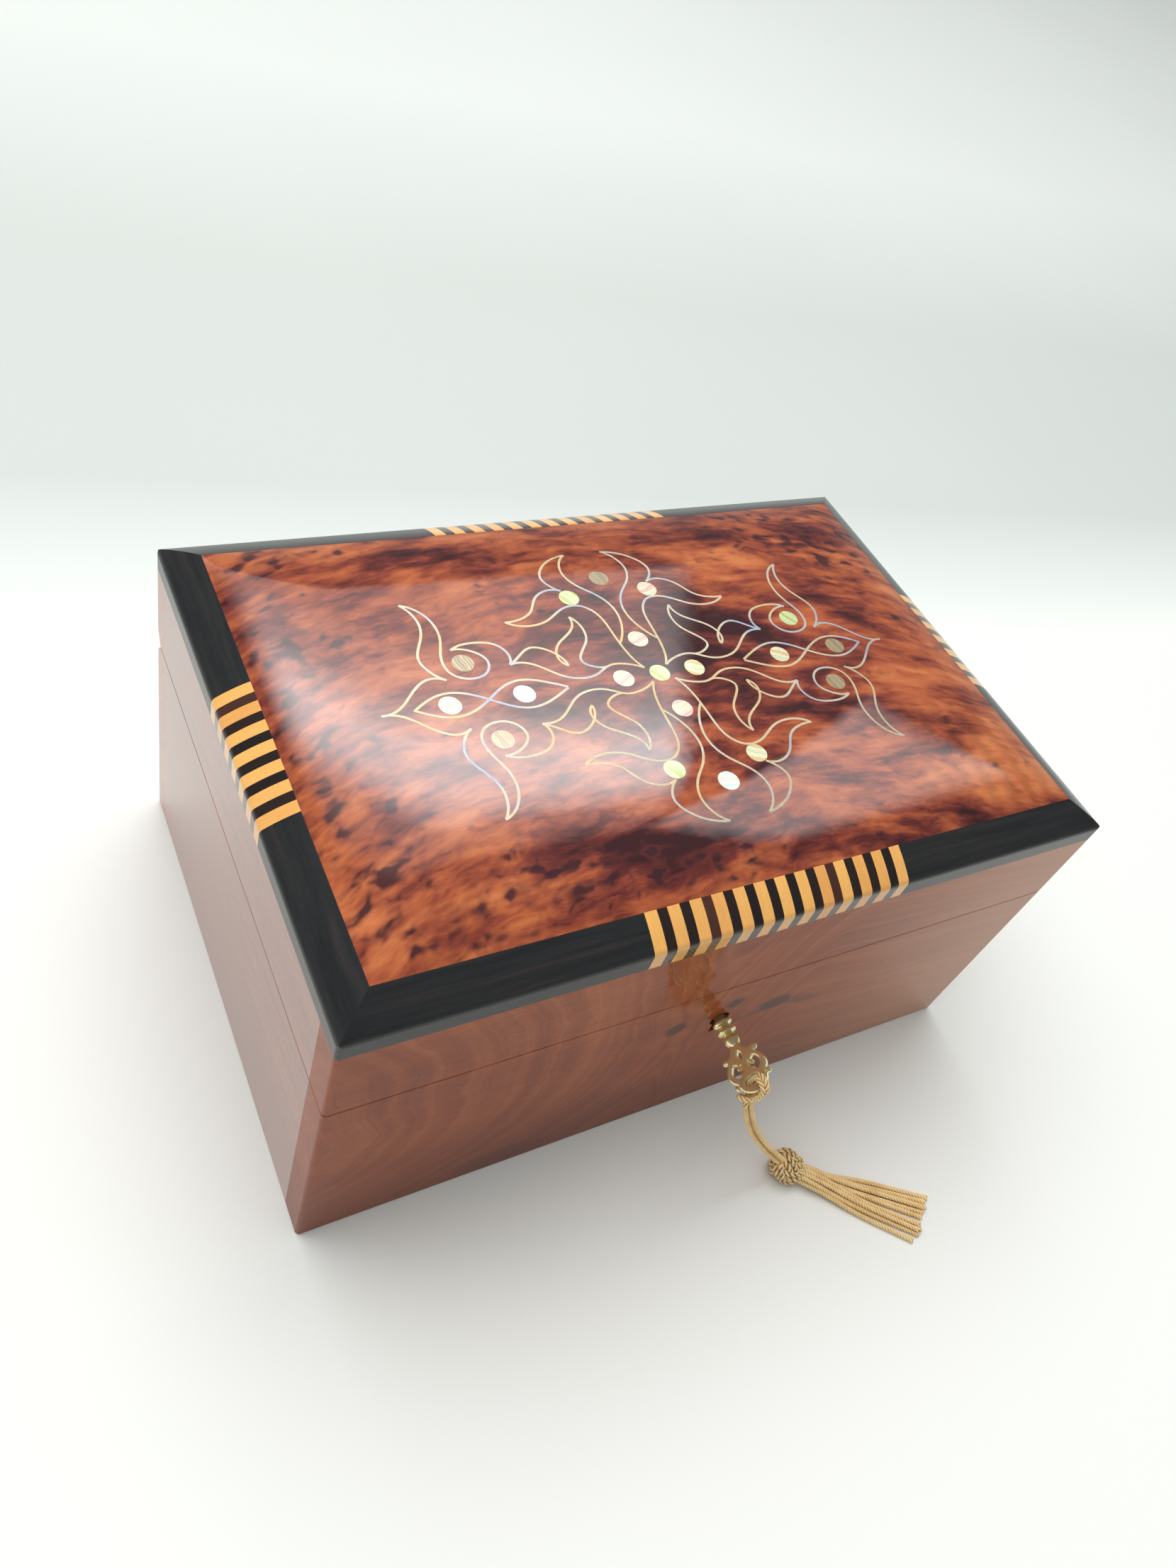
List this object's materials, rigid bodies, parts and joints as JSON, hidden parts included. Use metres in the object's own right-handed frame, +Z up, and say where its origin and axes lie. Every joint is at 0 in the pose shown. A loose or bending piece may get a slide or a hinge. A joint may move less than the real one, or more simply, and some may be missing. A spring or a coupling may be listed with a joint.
{
  "type": "jewellery chest",
  "caption": "Hinged-lid wooden jewellery chest with a crowned burl lid, striped border, wire and shell inlay, lock and key with tassel, and a lift-out tray.",
  "frame": {"origin": "centre of the chest's underside", "axes": "+X along the length to the right of the front, +Y from the keyhole front to the hinged back, +Z up"},
  "size_m": [0.3, 0.2875, 0.15],
  "materials": {
    "thuya_side": "clear gloss varnish over straight-grained red-brown thuya",
    "thuya_burl": "clear gloss varnish over figured burl",
    "ebony": "clear gloss varnish over near-black wood",
    "lemonwood": "clear gloss varnish over pale yellow wood",
    "silver_wire": "polished, level with the wood",
    "mother_of_pearl": "iridescent shell, polished, under varnish",
    "base_wood": "satin",
    "velvet": "deep red velvet",
    "tray_wood": "satin varnish",
    "brass": "polished",
    "lock_steel": "plain",
    "key_brass": "bright polish",
    "cord": "twisted rayon, slightly shiny"
  },
  "bodies": {
    "case": {"case_front": "thuya_side", "case_back": "thuya_side", "case_left": "thuya_side", "case_right": "thuya_side", "base_panel": "base_wood", "floor_liner": "velvet", "liner_front": "velvet", "liner_back": "velvet", "liner_left": "velvet", "liner_right": "velvet", "hinge_left_case_leaf": "brass", "hinge_right_case_leaf": "brass", "hinge_pins": "brass", "case_screws": "brass", "lock_case": "brass", "lock_cap": "brass", "drill_pin": "lock_steel"},
    "lid": {"lid_front": "thuya_side", "lid_back": "thuya_side", "lid_left": "thuya_side", "lid_right": "thuya_side", "lid_panel": "thuya_burl", "lid_pad": "velvet", "border_front": "ebony", "border_back": "ebony", "border_left": "ebony", "border_right": "ebony", "light_stripes_front": "lemonwood", "light_stripes_back": "lemonwood", "light_stripes_left": "lemonwood", "light_stripes_right": "lemonwood", "dark_stripes_front": "ebony", "dark_stripes_back": "ebony", "dark_stripes_left": "ebony", "dark_stripes_right": "ebony", "silver_wire": "silver_wire", "pearl_dots": "mother_of_pearl", "hinge_left_lid_leaf": "brass", "hinge_right_lid_leaf": "brass", "lid_screws": "brass", "strike_plate": "brass"},
    "tray": {"tray_back": "tray_wood", "tray_base": "tray_wood", "tray_front": "tray_wood", "tray_left": "tray_wood", "tray_long_divider": "tray_wood", "tray_pads": "velvet", "tray_right": "tray_wood", "tray_ring_divider": "tray_wood", "tray_short_dividers": "tray_wood", "ring_rolls": "velvet"},
    "key": {"key": "key_brass"},
    "locking_arm": {"locking_arm": "lock_steel", "locking_beak": "lock_steel"},
    "tassel": {"cord_loop": "cord", "cord_right": "cord", "cord_left": "cord", "bow_knot": "cord", "tassel_knot": "cord", "tassel_skirt": "cord"}
  },
  "joints": [
    {"name": "lid_hinge", "type": "hinge", "parent": "case", "child": "lid", "pos_m": [0, 0.095, 0.096], "axis": [-1, 0, 0], "range_deg": [0, 105]},
    {"name": "tray_lift", "type": "slide", "parent": "case", "child": "tray", "axis": [0, 0, 1], "range_m": [0, 0.029]},
    {"name": "key_turn", "type": "hinge", "parent": "case", "child": "key", "pos_m": [0, -0.1, 0.072], "axis": [0, 1, 0], "range_deg": [0, 90]},
    {"name": "arm_turn", "type": "hinge", "parent": "case", "child": "locking_arm", "pos_m": [0, -0.09, 0.072], "axis": [0, 1, 0], "range_deg": [0, 90]},
    {"name": "tassel_swivel", "type": "hinge", "parent": "key", "child": "tassel", "pos_m": [0, -0.1282, 0.072], "axis": [0, 1, 0], "range_deg": [-90, 0]}
  ],
  "couplings": [
    {"joint": "arm_turn", "follows": "key_turn", "ratio": 1},
    {"joint": "tassel_swivel", "follows": "key_turn", "ratio": -1}
  ]
}
